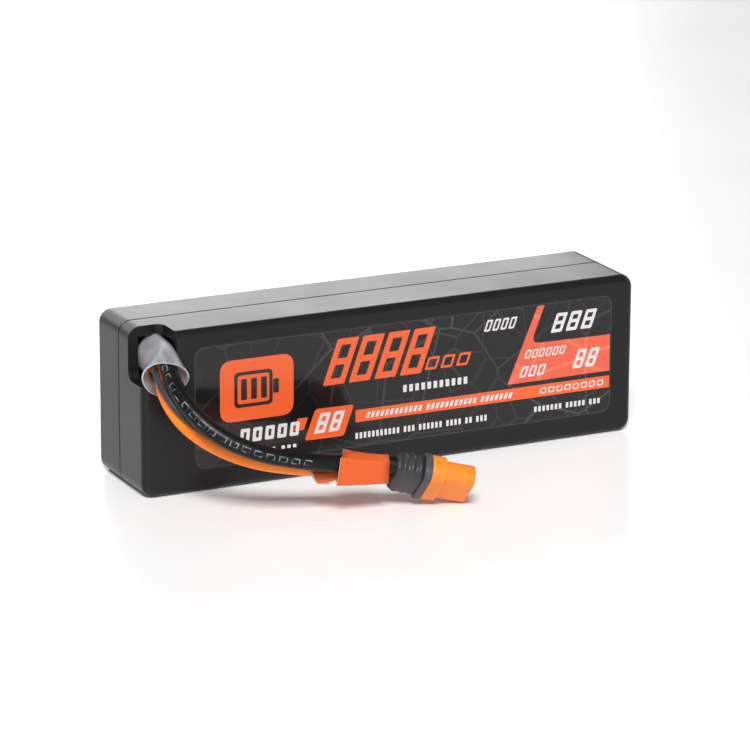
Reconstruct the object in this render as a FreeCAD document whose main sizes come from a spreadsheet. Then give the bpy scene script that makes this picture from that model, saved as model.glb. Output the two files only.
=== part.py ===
"""Hard-case two-cell lithium battery pack with a short lead and a two-pole connector.

Frame: millimetres, +Z up, origin under the middle of the case.
+X runs along the case, away from the end where the leads come out; -Y is the label side.
"""
import FreeCAD
import Part
import math
import os
import Sketcher
from FreeCAD import Placement, Rotation, Vector

SIZES = [
    # the welded case
    ("case_length", 96.0), ("case_depth", 20.2), ("case_height", 29.3),
    ("front_depth", 10.6), ("side_wall", 1.9), ("face_wall", 1.6),
    ("corner_radius", 2.3), ("rim_radius", 1.2), ("seam_chamfer", 0.22),
    ("tongue_width", 0.8), ("tongue_height", 0.8), ("tongue_gap", 0.06),
    ("notch_width", 6.4), ("notch_depth", 6.4), ("notch_height", 9.3), ("notch_radius", 1.6),
    ("label_length", 81.8), ("label_height", 21.8), ("label_film", 0.15), ("label_corner", 2.2),
    ("label_centre_x", 2.6), ("label_centre_z", 15.1),
    # the cells and what packs them
    ("cell_length", 82.0), ("cell_thick", 7.7), ("cell_height", 23.6), ("cell_edge", 1.4),
    ("cell_end_x", 45.2), ("terrace_length", 3.2), ("terrace_thick", 0.4), ("terrace_height", 22.0),
    ("tape_thick", 0.4), ("foam_thick", 0.5), ("foam_length", 70.0), ("foam_height", 18.0),
    ("end_foam_thick", 0.7), ("end_foam_depth", 14.0), ("end_foam_height", 20.0),
    ("tab_width", 4.0), ("tab_thick", 0.2), ("tab_fold", 2.6), ("tab_offset", 5.6),
    # the board
    ("board_face_x", -41.6), ("board_thick", 0.8), ("board_depth", 16.0), ("board_low_z", 2.6),
    ("board_step_z", 19.2), ("board_top_z", 27.0), ("board_step_y", 0.0), ("sheet_thick", 0.15),
    ("slot_slack", 0.3),
    # the leads
    ("power_lead", 3.0), ("data_lead_width", 1.2), ("sleeve_wall", 0.3),
    ("wrap_wide", 7.2), ("wrap_tall", 6.1), ("wrap_wall", 0.15), ("wrap_corner", 1.1),
    # the connector, along its own axis from the back of the cap
    ("boot_length", 4.2), ("boot_gap", 0.05), ("boot_corner", 1.9), ("rib_height", 0.35),
    ("rib_start", 0.4), ("rib_pitch", 1.3), ("rib_width", 0.8), ("plastic_rim", 0.25),
    ("cap_length", 1.3), ("flange_length", 2.5), ("nose_length", 5.3),
    ("cap_corner", 2.0), ("flange_corner", 2.4), ("nose_corner", 1.9),
    ("cap_long", 9.2), ("cap_short", 5.6), ("flange_long", 9.4), ("flange_short", 5.4),
    ("nose_long", 8.2), ("nose_short", 4.2), ("boot_long", 8.4), ("boot_short", 4.8),
    ("contact_spacing", 3.8), ("contact_outer", 2.6), ("contact_bore", 2.0),
    ("contact_back", 2.6), ("contact_recess", 0.5), ("contact_bore_depth", 6.5),
    ("data_contact_outer", 1.0), ("data_contact_bore", 0.5), ("data_contact_back", 2.0),
    ("data_contact_offset", -1.05),
]
SIZE = dict(SIZES)

# Routes of the leads, from the solder joint on the board to the back of a contact.
NEGATIVE_ROUTE = [
    (-43.5, 3.2, 25.2), (-42.9, -3.7, 25.5), (-44.2, -10.0, 25.9), (-45.4, -16.3, 22.85),
    (-44.5, -22.3, 18.8), (-41.0, -26.8, 15.0), (-35.1, -29.6, 12.2), (-28.0, -31.1, 10.4),
    (-21.0, -31.8, 9.2), (-15.6, -32.2, 8.8),
]
POSITIVE_ROUTE = [
    (-43.5, 3.2, 21.8), (-43.4, -3.4, 22.2), (-44.6, -9.5, 22.8), (-45.9, -15.0, 19.75),
    (-44.3, -19.2, 15.6), (-40.1, -22.6, 12.2), (-34.1, -24.9, 9.5), (-27.2, -26.9, 8.1),
    (-20.8, -28.9, 7.5), (-15.6, -29.85, 6.6),
]
DATA_ROUTE = [
    (-42.6, 6.9, 23.5), (-45.1, 3.0, 23.5), (-44.75, -3.4, 24.0), (-46.4, -9.2, 24.45),
    (-47.2, -15.0, 22.0), (-45.4, -20.4, 17.5), (-40.6, -24.0, 13.7), (-34.1, -26.9, 11.4),
    (-27.4, -28.3, 10.4), (-21.2, -29.3, 9.8), (-15.6, -29.95, 9.15),
]
LEAD_APPROACH = 5.2          # where the last bend of each lead lies, behind the cap
CONNECTOR_POINT = Vector(-7.0, -33.55, 5.755)
CONNECTOR_YAW = -16.0
CONNECTOR_DIP = 13.4
CONNECTOR_ROLL = 47.0

doc = FreeCAD.newDocument("battery_pack")
parts = []


# ---------------------------------------------------------------- helpers
def fill_sheet():
    sheet = doc.addObject("Spreadsheet::Sheet", "sheet")
    for row, (alias, value) in enumerate(SIZES, start=1):
        sheet.set(f"A{row}", alias)
        sheet.set(f"B{row}", str(value))
        sheet.setAlias(f"B{row}", alias)
    doc.recompute()


def bind(thing, **expressions):
    """Bind properties to formulas over the sheet's aliases."""
    for name, formula in expressions.items():
        thing.setExpression(name, formula)


def formula(text):
    """Write the aliases in a formula the way the document's expressions need them."""
    for alias in sorted(SIZE, key=len, reverse=True):
        text = text.replace("[" + alias + "]", "sheet." + alias)
    return text


def keep(thing, label):
    thing.Label = label
    parts.append(thing)
    return thing


def new_body(name):
    return doc.addObject("PartDesign::Body", name)


def plane(body, role):
    return next(item for item in body.Origin.OriginFeatures if item.Role == role)


def new_sketch(body, name, role, offset):
    """A sketch on one of the body's origin planes, lifted along that plane's normal."""
    sketch = body.newObject("Sketcher::SketchObject", name)
    sketch.AttachmentSupport = [(plane(body, role), "")]
    sketch.MapMode = "FlatFace"
    sketch.setExpression(".AttachmentOffset.Base.z", formula(offset))
    return sketch


def add_rectangle(sketch, left, low, width, height):
    """A rectangle placed by its lower left corner; every size is a formula."""
    corners = [Vector(0, 0, 0), Vector(5, 0, 0), Vector(5, 5, 0), Vector(0, 5, 0)]
    for start, end in zip(corners, corners[1:] + corners[:1]):
        sketch.addGeometry(Part.LineSegment(start, end), False)
    for side in range(4):
        sketch.addConstraint(Sketcher.Constraint("Coincident", side, 2, (side + 1) % 4, 1))
    sketch.addConstraint(Sketcher.Constraint("Horizontal", 0))
    sketch.addConstraint(Sketcher.Constraint("Horizontal", 2))
    sketch.addConstraint(Sketcher.Constraint("Vertical", 1))
    sketch.addConstraint(Sketcher.Constraint("Vertical", 3))
    named = [
        ("left", Sketcher.Constraint("DistanceX", -1, 1, 0, 1, 0.1), left),
        ("low", Sketcher.Constraint("DistanceY", -1, 1, 0, 1, 0.1), low),
        ("width", Sketcher.Constraint("DistanceX", 0, 1, 0, 2, 5.0), width),
        ("height", Sketcher.Constraint("DistanceY", 1, 1, 1, 2, 5.0), height),
    ]
    for name, constraint, size in named:
        index = sketch.addConstraint(constraint)
        sketch.renameConstraint(index, name)
        sketch.setExpression("Constraints." + name, formula(size))


def pad(body, sketch, name, length, reverse=False):
    feature = body.newObject("PartDesign::Pad", name)
    feature.Profile = sketch
    feature.Reversed = reverse
    bind(feature, Length=formula(length))
    doc.recompute()
    return feature


def pocket(body, sketch, name, length, reverse=False):
    before = body.Shape.Volume
    feature = body.newObject("PartDesign::Pocket", name)
    feature.Profile = sketch
    feature.Reversed = reverse
    bind(feature, Length=formula(length))
    doc.recompute()
    if body.Shape.Volume > before - 1e-6:
        raise RuntimeError(name + " cuts nothing")
    return feature


def edges_where(shape, test):
    return [f"Edge{number}" for number, edge in enumerate(shape.Edges, start=1) if test(edge)]


def round_edges(body, name, test, radius, kind="Fillet", size="Radius"):
    """Fillet or chamfer the edges of the body's tip that pass the test."""
    tip = body.Tip
    names = edges_where(tip.Shape, test)
    feature = body.newObject("PartDesign::" + kind, name)
    feature.Base = (tip, names)
    feature.setExpression(size, formula(radius))
    doc.recompute()
    return feature


def runs_along(edge, axis):
    direction = edge.valueAt(edge.LastParameter) - edge.valueAt(edge.FirstParameter)
    return direction.Length > 1e-6 and abs(direction.normalize().dot(axis)) > 0.999


def lies_at(edge, axis, value):
    return all(abs(point.dot(axis) - value) < 1e-4 for point in edge.discretize(5))


def new_block(name, **formulas):
    """A Part box: length, depth, height and the corner x, y, z, each a formula."""
    block = doc.addObject("Part::Box", name)
    bind(
        block,
        Length=formula(formulas["length"]),
        Width=formula(formulas["depth"]),
        Height=formula(formulas["height"]),
    )
    for axis in "xyz":
        block.setExpression(".Placement.Base." + axis, formula(formulas[axis]))
    doc.recompute()
    return block


def solid_part(label, shape, placement=None):
    """A sub-part whose shape is worked out by Part's own functions."""
    feature = doc.addObject("Part::Feature", label)
    feature.Shape = shape
    if placement:
        feature.Placement = placement
    return keep(feature, label)


X_AXIS = Vector(1, 0, 0)
Y_AXIS = Vector(0, 1, 0)
Z_AXIS = Vector(0, 0, 1)
FRONT_Y = -SIZE["case_depth"] / 2
SEAM_Y = FRONT_Y + SIZE["front_depth"]


# ---------------------------------------------------------------- case
def shell_body(name, seam_offset, depth, toward_front):
    """A tray: a block with rounded corners and rim, hollowed out from the seam."""
    body = new_body(name)
    outline = new_sketch(body, name + "_outline", "XZ_Plane", seam_offset)
    add_rectangle(outline, "-[case_length] / 2", "0 * [case_height]", "[case_length]", "[case_height]")
    pad(body, outline, name + "_block", depth, reverse=not toward_front)
    round_edges(body, name + "_corners", lambda edge: runs_along(edge, Y_AXIS), "[corner_radius]")
    outer_y = FRONT_Y if toward_front else -FRONT_Y
    round_edges(body, name + "_rim", lambda edge: lies_at(edge, Y_AXIS, outer_y), "[rim_radius]")
    round_edges(body, name + "_bevel", lambda edge: lies_at(edge, Y_AXIS, SEAM_Y),
                "[seam_chamfer]", kind="Chamfer", size="Size")
    hollow = new_sketch(body, name + "_hollow_outline", "XZ_Plane", seam_offset)
    add_rectangle(hollow, "-[case_length] / 2 + [side_wall]", "[side_wall]",
                  "[case_length] - 2 * [side_wall]", "[case_height] - 2 * [side_wall]")
    pocket(body, hollow, name + "_hollow", depth + " - [face_wall]", reverse=toward_front)
    return body


def make_front_shell():
    """The label-side shell, rebated for the tongue, with the corner notch for the leads."""
    body = shell_body("front_tray", "[case_depth] / 2 - [front_depth]", "[front_depth]", True)
    rebate = new_sketch(body, "rebate_outline", "XZ_Plane", "[case_depth] / 2 - [front_depth]")
    reach = "([side_wall] - [tongue_width] - [tongue_gap])"
    add_rectangle(rebate, "-[case_length] / 2 + " + reach, reach,
                  "[case_length] - 2 * " + reach, "[case_height] - 2 * " + reach)
    pocket(body, rebate, "rebate", "[tongue_height] + [tongue_gap]", reverse=True)
    recess = new_sketch(body, "label_recess_outline", "XZ_Plane", "[case_depth] / 2")
    add_label_outline(recess)
    pocket(body, recess, "label_recess", "[label_film]")
    round_label_corners(body, "label_recess_corners")
    reach_out = "1"
    tool = new_block(
        "notch_tool",
        length="[notch_width] + " + reach_out,
        depth="[notch_depth] + " + reach_out,
        height="[notch_height] + " + reach_out,
        x="-[case_length] / 2 - " + reach_out,
        y="-[case_depth] / 2 - " + reach_out,
        z="[case_height] - [notch_height]",
    )
    box = tool.Shape.BoundBox
    inner = Vector(box.XMax, box.YMax, box.ZMin)
    rounded = doc.addObject("Part::Fillet", "notch_rounded")
    rounded.Base = tool
    radius = SIZE["notch_radius"]
    numbers = [n for n, edge in enumerate(tool.Shape.Edges, start=1)
               if any((vertex.Point - inner).Length < 1e-6 for vertex in edge.Vertexes)]
    rounded.Edges = [(n, radius, radius) for n in numbers]
    shell = doc.addObject("Part::Cut", "front_shell_cut")
    shell.Base = body
    shell.Tool = rounded
    doc.recompute()
    return keep(shell, "front_shell")


def add_label_outline(sketch):
    add_rectangle(sketch, "[label_centre_x] - [label_length] / 2", "[label_centre_z] - [label_height] / 2",
                  "[label_length]", "[label_height]")


def round_label_corners(body, name):
    """Round the short edges that run through the film's thickness."""
    longest = 2 * SIZE["label_film"]
    round_edges(body, name, lambda edge: runs_along(edge, Y_AXIS) and edge.Length < longest,
                "[label_corner]")


def make_rear_shell():
    """The back shell, with a tongue round its rim that the front shell takes."""
    body = shell_body("rear_tray", "[case_depth] / 2 - [front_depth]",
                      "[case_depth] - [front_depth]", False)
    tongue = new_sketch(body, "tongue_outline", "XZ_Plane", "[case_depth] / 2 - [front_depth]")
    reach = "([side_wall] - [tongue_width])"
    add_rectangle(tongue, "-[case_length] / 2 + " + reach, reach,
                  "[case_length] - 2 * " + reach, "[case_height] - 2 * " + reach)
    pad(body, tongue, "tongue", "[tongue_height]")
    inside = new_sketch(body, "tongue_inside", "XZ_Plane",
                        "[case_depth] / 2 - [front_depth] + [tongue_height]")
    add_rectangle(inside, "-[case_length] / 2 + [side_wall]", "[side_wall]",
                  "[case_length] - 2 * [side_wall]", "[case_height] - 2 * [side_wall]")
    pocket(body, inside, "tongue_hollow", "[tongue_height] + 2")
    return keep(body, "rear_shell")


def make_front_label():
    """The printed film that fills the recess in the front shell."""
    body = new_body("front_label")
    outline = new_sketch(body, "label_outline", "XZ_Plane", "[case_depth] / 2 - [label_film]")
    add_label_outline(outline)
    pad(body, outline, "label_sheet", "[label_film]")
    round_label_corners(body, "label_corners")
    return keep(body, "front_label")


# ---------------------------------------------------------------- cells and packing
def make_cell(label, low_y):
    """A pouch cell: a soft-edged block with a flat sealed terrace at its tab end."""
    body = new_body(label + "_pouch")
    block = new_sketch(body, label + "_outline", "XZ_Plane", "-(" + low_y + ") - [cell_thick]")
    add_rectangle(block, "[cell_end_x] - [cell_length]", "([case_height] - [cell_height]) / 2",
                  "[cell_length]", "[cell_height]")
    pad(body, block, label + "_block", "[cell_thick]")
    round_edges(body, label + "_soft_edges", lambda edge: True, "[cell_edge]")
    seal = new_sketch(body, label + "_seal_outline", "XZ_Plane",
                      "-(" + low_y + ") - ([cell_thick] + [terrace_thick]) / 2")
    overlap = "[cell_edge]"
    add_rectangle(seal, "[cell_end_x] - [cell_length] - [terrace_length]",
                  "([case_height] - [terrace_height]) / 2",
                  "[terrace_length] + " + overlap, "[terrace_height]")
    pad(body, seal, label + "_seal", "[terrace_thick]")
    return keep(body, label)


def make_tab(label, low_y, side):
    """A cell tab: a thin strip from the seal, folded up flat behind the board."""
    body = new_body(label + "_strip")
    low_z = f"[case_height] / 2 + {side} * [tab_offset] - [tab_width] / 2"
    profile = new_sketch(body, label + "_profile", "XY_Plane", low_z)
    middle = "(" + low_y + " + [cell_thick] / 2)"
    back = "([board_face_x] + [board_thick])"
    end = "([cell_end_x] - [cell_length] - [terrace_length])"
    add_rectangle(profile, back, middle + " - [tab_thick] / 2", end + " - " + back, "[tab_thick]")
    pad(body, profile, label + "_run", "[tab_width]")
    fold = new_sketch(body, label + "_fold_outline", "XY_Plane", low_z)
    add_rectangle(fold, back, middle + " - [tab_thick] / 2", "[tab_thick]", "[tab_fold]")
    pad(body, fold, label + "_fold", "[tab_width]")
    return keep(body, label)


def make_packing():
    middle = "([cell_end_x] - [cell_length] / 2)"
    pads = [
        ("cell_tape", "[tape_thick]", "-[tape_thick] / 2"),
        ("front_foam", "[foam_thick]", "-[tape_thick] / 2 - [cell_thick] - [foam_thick]"),
        ("rear_foam", "[foam_thick]", "[tape_thick] / 2 + [cell_thick]"),
    ]
    for label, depth, low_y in pads:
        block = new_block(
            label, length="[foam_length]", depth=depth, height="[foam_height]",
            x=middle + " - [foam_length] / 2", y=low_y,
            z="([case_height] - [foam_height]) / 2",
        )
        keep(block, label)
    block = new_block(
        "end_foam", length="[end_foam_thick]", depth="[end_foam_depth]", height="[end_foam_height]",
        x="[cell_end_x]", y="-[end_foam_depth] / 2", z="([case_height] - [end_foam_height]) / 2",
    )
    keep(block, "end_foam")


# ---------------------------------------------------------------- board
def board_outline():
    """The board's outline in the YZ plane: full width below, cut away beside the notch."""
    half = SIZE["board_depth"] / 2
    return [(-half, SIZE["board_low_z"]), (half, SIZE["board_low_z"]), (half, SIZE["board_top_z"]),
            (SIZE["board_step_y"], SIZE["board_top_z"]), (SIZE["board_step_y"], SIZE["board_step_z"]),
            (-half, SIZE["board_step_z"])]


def make_circuit_board():
    points = [Vector(SIZE["board_face_x"], y, z) for y, z in board_outline()]
    face = Part.Face(Part.makePolygon(points + points[:1]))
    solid_part("circuit_board", face.extrude(Vector(SIZE["board_thick"], 0, 0)))


def make_insulation_sheet():
    """Fibre sheet between the board's solder side and the cells, slotted for the tabs."""
    back = SIZE["cell_end_x"] - SIZE["cell_length"] - SIZE["terrace_length"]
    half = SIZE["board_depth"] / 2
    low_z = SIZE["board_low_z"]
    sheet = Part.makeBox(SIZE["sheet_thick"], 2 * half, SIZE["board_top_z"] - low_z,
                         Vector(back - SIZE["sheet_thick"], -half, low_z))
    slack = SIZE["slot_slack"]
    for middle_y in cell_middles():
        for side in (-1, 1):
            slot_z = SIZE["case_height"] / 2 + side * SIZE["tab_offset"] - SIZE["tab_width"] / 2
            slot = Part.makeBox(2, SIZE["tab_thick"] + 2 * slack, SIZE["tab_width"] + 2 * slack,
                                Vector(back - 1, middle_y - SIZE["tab_thick"] / 2 - slack, slot_z - slack))
            sheet = sheet.cut(slot)
    solid_part("insulation_sheet", sheet)


def cell_middles():
    offset = (SIZE["tape_thick"] + SIZE["cell_thick"]) / 2
    return (-offset, offset)


def surface_block(depth, height, thick, y, z):
    """A component on the board's outer face, given by its middle."""
    corner = Vector(SIZE["board_face_x"] - thick, y - depth / 2, z - height / 2)
    return Part.makeBox(thick, depth, height, corner)


def make_components():
    chip = surface_block(4.0, 4.0, 0.9, -3.2, 8.0)
    solid_part("controller_chip", chip.makeChamfer(0.1, chip.Edges[:4]))
    transistors = [surface_block(3.0, 3.2, 1.0, y, 13.6) for y in (-5.0, -0.6)]
    solid_part("power_transistors", Part.makeCompound(transistors))
    resistors = [surface_block(1.6, 0.8, 0.5, 2.6 + 2.4 * column, 6.0 + 1.8 * row)
                 for column in range(2) for row in range(3)]
    solid_part("chip_resistors", Part.makeCompound(resistors))
    capacitors = [surface_block(2.0, 1.25, 0.9, y, 4.2) for y in (-5.0, -2.0, 1.2)]
    solid_part("chip_capacitors", Part.makeCompound(capacitors))
    bleeders = [surface_block(3.2, 1.6, 0.6, 5.2, 12.2 + 2.2 * row) for row in range(2)]
    solid_part("balance_resistors", Part.makeCompound(bleeders))
    solid_part("thermistor", half_ball((1.2, 0.85, 0.85), 6.9, 9.9))


def half_ball(size, y, z):
    """Half of a stretched ball, sitting on the board's outer face."""
    matrix = FreeCAD.Matrix()
    matrix.scale(Vector(*size))
    ball = Part.makeSphere(1.0).transformGeometry(matrix)
    ball.translate(Vector(SIZE["board_face_x"], y, z))
    limit = Part.makeBox(4, 8, 8, Vector(SIZE["board_face_x"] - 4, y - 4, z - 4))
    return ball.common(limit)


def make_solder_joints():
    start_y = POSITIVE_ROUTE[0][1]
    length = 1.5
    domes = []
    for route in (POSITIVE_ROUTE, NEGATIVE_ROUTE):
        middle_y = start_y + length + 0.1
        dome = half_ball((2.2, length, 1.4), middle_y, route[0][2])
        domes.append(dome)
    solid_part("power_solder_joints", Part.makeCompound(domes))
    data_end = DATA_ROUTE[0]
    solid_part("data_solder_joint", half_ball((1.6, 0.6, 0.6), data_end[1] + 0.75, data_end[2]))


def make_tab_joints():
    """One solder fillet where each folded tab ends on the back of the board."""
    back = SIZE["board_face_x"] + SIZE["board_thick"]
    joints = []
    for middle_y in cell_middles():
        for side in (-1, 1):
            z = SIZE["case_height"] / 2 + side * SIZE["tab_offset"]
            y = middle_y - SIZE["tab_thick"] / 2 + SIZE["tab_fold"]
            joints.append(Part.makeBox(0.2, 0.7, 3.0, Vector(back, y, z - 1.5)))
    solid_part("tab_solder_joints", Part.makeCompound(joints))


# ---------------------------------------------------------------- connector
def connector_rotation():
    """Local +Z is the mating direction and local +X the long side of the connector."""
    turn = Rotation(Z_AXIS, CONNECTOR_YAW) * Rotation(Y_AXIS, CONNECTOR_DIP)
    axis = turn.multVec(X_AXIS)
    near = Rotation(Z_AXIS, CONNECTOR_YAW).multVec(Vector(0, -1, 0))
    long_side = Rotation(axis, -CONNECTOR_ROLL).multVec(near)
    return Rotation(long_side, Vector(), axis, "ZXY")


def connector_placement():
    return Placement(CONNECTOR_POINT, connector_rotation())


def on_connector(along, across, offset):
    return connector_placement().multVec(Vector(across, offset, along))


def prism(long_side, short_side, corner, low, high):
    """A block along the connector's axis, its four long edges rounded."""
    block = Part.makeBox(long_side, short_side, high - low,
                         Vector(-long_side / 2, -short_side / 2, low))
    return block.makeFillet(corner, [edge for edge in block.Edges if runs_along(edge, Z_AXIS)])


def soften(shape, radius, *heights):
    """Round the edges that lie at these heights along the connector's axis."""
    rims = [edge for edge in shape.Edges if any(lies_at(edge, Z_AXIS, height) for height in heights)]
    return shape.makeFillet(radius, rims)


def contact_holes(shape, radius, low, high):
    for side in (-1, 1):
        place = Vector(side * SIZE["contact_spacing"] / 2, 0, low)
        shape = shape.cut(Part.makeCylinder(radius, high - low, place))
    return shape


def data_hole(shape, radius, low, high):
    place = Vector(0, SIZE["data_contact_offset"], low)
    return shape.cut(Part.makeCylinder(radius, high - low, place))


def nose_end():
    return SIZE["cap_length"] + SIZE["flange_length"] + SIZE["nose_length"]


def make_connector_housing():
    """The orange housing: a flange that meets the cap, and the nose with the contact bores."""
    start = SIZE["cap_length"]
    step = start + SIZE["flange_length"]
    flange = prism(SIZE["flange_long"], SIZE["flange_short"], SIZE["flange_corner"], start, step)
    nose = prism(SIZE["nose_long"], SIZE["nose_short"], SIZE["nose_corner"], step, nose_end())
    rim = SIZE["plastic_rim"]
    shape = soften(flange, rim, start, step).fuse(soften(nose, rim, nose_end())).removeSplitter()
    shape = contact_holes(shape, SIZE["contact_outer"] / 2, start - 1, nose_end() + 1)
    shape = data_hole(shape, SIZE["data_contact_outer"] / 2, start - 1, nose_end() + 1)
    solid_part("connector_housing", shape, connector_placement())


def make_connector_cap():
    shape = prism(SIZE["cap_long"], SIZE["cap_short"], SIZE["cap_corner"], 0, SIZE["cap_length"])
    shape = soften(shape, SIZE["plastic_rim"], 0, SIZE["cap_length"])
    shape = contact_holes(shape, SIZE["contact_outer"] / 2, -1, SIZE["cap_length"] + 1)
    shape = data_hole(shape, SIZE["data_contact_outer"] / 2, -1, SIZE["cap_length"] + 1)
    solid_part("connector_cap", shape, connector_placement())


def make_connector_boot():
    """The moulded strain relief: a rounded body with three ribs, holed for the leads."""
    length = SIZE["boot_length"]
    rib = SIZE["rib_height"]
    core = prism(SIZE["boot_long"] - 2 * rib, SIZE["boot_short"] - 2 * rib,
                 SIZE["boot_corner"] - rib, -length, 0)
    shape = soften(core, rib, -length)
    for count in range(3):
        low = -length + SIZE["rib_start"] + count * SIZE["rib_pitch"]
        high = low + SIZE["rib_width"]
        ring = prism(SIZE["boot_long"], SIZE["boot_short"], SIZE["boot_corner"], low, high)
        shape = shape.fuse(soften(ring, SIZE["plastic_rim"], low, high))
    shape = contact_holes(shape, SIZE["contact_outer"] / 2, -SIZE["contact_back"], 1)
    gap = SIZE["boot_gap"]
    shape = contact_holes(shape, SIZE["power_lead"] / 2 + gap, -length - 1, -SIZE["contact_back"])
    shape = data_hole(shape, SIZE["data_contact_outer"] / 2, -SIZE["data_contact_back"], 1)
    shape = data_hole(shape, SIZE["data_lead_width"] / 2 + gap, -length - 1, -SIZE["data_contact_back"])
    solid_part("connector_boot", shape.removeSplitter(), connector_placement())


def socket(outer, bore, back, across, offset):
    """A tubular contact: solid at the lead, bored from its mating end."""
    front = nose_end() - SIZE["contact_recess"]
    depth = SIZE["contact_bore_depth"]
    barrel = Part.makeCylinder(outer / 2, front + back, Vector(across, offset, -back))
    return barrel.cut(Part.makeCylinder(bore / 2, depth + 1, Vector(across, offset, front - depth)))


def make_contacts():
    for label, side in (("positive_contact", -1), ("negative_contact", 1)):
        across = side * SIZE["contact_spacing"] / 2
        shape = socket(SIZE["contact_outer"], SIZE["contact_bore"], SIZE["contact_back"], across, 0)
        solid_part(label, shape, connector_placement())
    shape = socket(SIZE["data_contact_outer"], SIZE["data_contact_bore"],
                   SIZE["data_contact_back"], 0, SIZE["data_contact_offset"])
    solid_part("data_contact", shape, connector_placement())


# ---------------------------------------------------------------- leads
def lead_points(route, across, offset, back):
    """The route's own points, then two on the contact's axis."""
    points = [Vector(*point) for point in route]
    points.append(on_connector(-LEAD_APPROACH, across, offset))
    points.append(on_connector(-back, across, offset))
    return points


def arc_radius(before, corner, after):
    turn = (corner - before).getAngle(after - corner)
    shorter = min((corner - before).Length, (after - corner).Length)
    return 0.45 * shorter / math.tan(turn / 2)


def rounded_path(points, label):
    """Straight runs joined by tangent arcs, each as large as its two runs allow."""
    edges = []
    start = points[0]
    for before, corner, after in zip(points, points[1:], points[2:]):
        shorter = min((corner - before).Length, (after - corner).Length)
        reach = 0.45 * shorter
        back = (before - corner).normalize()
        ahead = (after - corner).normalize()
        arc_start = corner + back * reach
        arc_end = corner + ahead * reach
        radius = arc_radius(before, corner, after)
        bisector = (back + ahead).normalize()
        half_turn = (corner - before).getAngle(after - corner) / 2
        arc_middle = corner + bisector * (radius / math.cos(half_turn) - radius)
        edges.append(Part.LineSegment(start, arc_start).toShape())
        edges.append(Part.Arc(arc_start, arc_middle, arc_end).toShape())
        start = arc_end
        print(f"{label}: turn {math.degrees(2 * half_turn):.0f} deg, radius {radius:.1f} mm")
    edges.append(Part.LineSegment(start, points[-1]).toShape())
    return Part.Wire(edges)


def make_lead(label, points, width):
    path = rounded_path(points, label)
    ring = Part.Wire([Part.makeCircle(width / 2, points[0], points[1] - points[0])])
    tube = path.makePipeShell([ring], True, False, 2)
    expected = math.pi * width ** 2 / 4 * path.Length
    print(f"{label}: length {path.Length:.1f} mm, volume {tube.Volume:.1f}, expected {expected:.1f}")
    for point in points:
        print(f"{label}: ({point.x:.2f}, {point.y:.2f}, {point.z:.2f})")
    solid_part(label, tube)


def make_leads():
    half = SIZE["contact_spacing"] / 2
    back = SIZE["contact_back"]
    make_lead("negative_lead", lead_points(NEGATIVE_ROUTE, half, 0, back), SIZE["power_lead"])
    make_lead("positive_lead", lead_points(POSITIVE_ROUTE, -half, 0, back), SIZE["power_lead"])
    data_points = lead_points(DATA_ROUTE, 0, SIZE["data_contact_offset"], SIZE["data_contact_back"])
    make_lead("data_lead", data_points, SIZE["data_lead_width"])


def oval(half_wide, half_tall, centre, normal, wide_side):
    """A closed oval wire: half_wide along wide_side, half_tall across it."""
    rotation = Rotation(wide_side, Vector(), normal, "ZXY")
    if half_wide >= half_tall:
        curve = Part.Ellipse(Vector(), half_wide, half_tall)
    else:
        curve = Part.Ellipse(Vector(0, half_tall, 0), Vector(half_wide, 0, 0), Vector())
    shape = curve.toShape()
    shape.Placement = Placement(centre, rotation)
    return Part.Wire([shape])


def make_clear_sleeve():
    """A thin clear tube round the leads, narrow in the notch and flared at its mouth."""
    wall = SIZE["sleeve_wall"]
    mouth_axis = Vector(-0.335, -0.774, -0.534)
    wide_side = Vector(0.9, -0.42, 0.02)
    stations = [
        (2.75, 4.0, Vector(-43.6, -4.4, 23.85), Vector(-0.1, -1, 0), Vector(0.97, 0, -0.22)),
        (2.95, 3.95, Vector(-45.0, -10.1, 24.25), Vector(-0.25, -1, -0.05), X_AXIS),
        (3.4, 3.95, Vector(-45.15, -11.9, 23.3), Vector(-0.3, -0.88, -0.35), Vector(0.95, -0.3, 0)),
        (4.2, 4.15, Vector(-45.1, -13.4, 21.8), mouth_axis, wide_side),
    ]
    outer = [oval(*station) for station in stations]
    inner = [oval(wide - wall, tall - wall, *rest) for wide, tall, *rest in stations]
    sleeve = Part.makeLoft(outer, True, True).cut(Part.makeLoft(inner, True, True))
    solid_part("clear_sleeve", sleeve)


def make_lead_wrap():
    """The sticker folded round the leads behind the connector, as a thin boxy tube."""
    start = Vector(-20.2, -30.3, 8.4)
    end = Vector(-13.4, -31.2, 7.6)
    axis = end - start
    rotation = Rotation(Vector(0, -1, 0.2), Vector(), axis, "ZXY")
    wall = SIZE["wrap_wall"]
    wide, tall, corner = SIZE["wrap_wide"], SIZE["wrap_tall"], SIZE["wrap_corner"]
    outer = prism(wide, tall, corner, 0, axis.Length)
    inner = prism(wide - 2 * wall, tall - 2 * wall, corner - wall, -1, axis.Length + 1)
    solid_part("lead_wrap", outer.cut(inner), Placement(start, rotation))


# ---------------------------------------------------------------- build and write
def build():
    fill_sheet()
    make_front_shell()
    make_rear_shell()
    make_front_label()
    front_low_y = "-[tape_thick] / 2 - [cell_thick]"
    rear_low_y = "[tape_thick] / 2"
    make_cell("front_cell", front_low_y)
    make_cell("rear_cell", rear_low_y)
    make_tab("front_cell_positive_tab", front_low_y, 1)
    make_tab("front_cell_negative_tab", front_low_y, -1)
    make_tab("rear_cell_positive_tab", rear_low_y, -1)
    make_tab("rear_cell_negative_tab", rear_low_y, 1)
    make_packing()
    make_circuit_board()
    make_insulation_sheet()
    make_components()
    make_solder_joints()
    make_tab_joints()
    make_connector_boot()
    make_connector_cap()
    make_connector_housing()
    make_contacts()
    make_leads()
    make_clear_sleeve()
    make_lead_wrap()
    doc.recompute()


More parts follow.
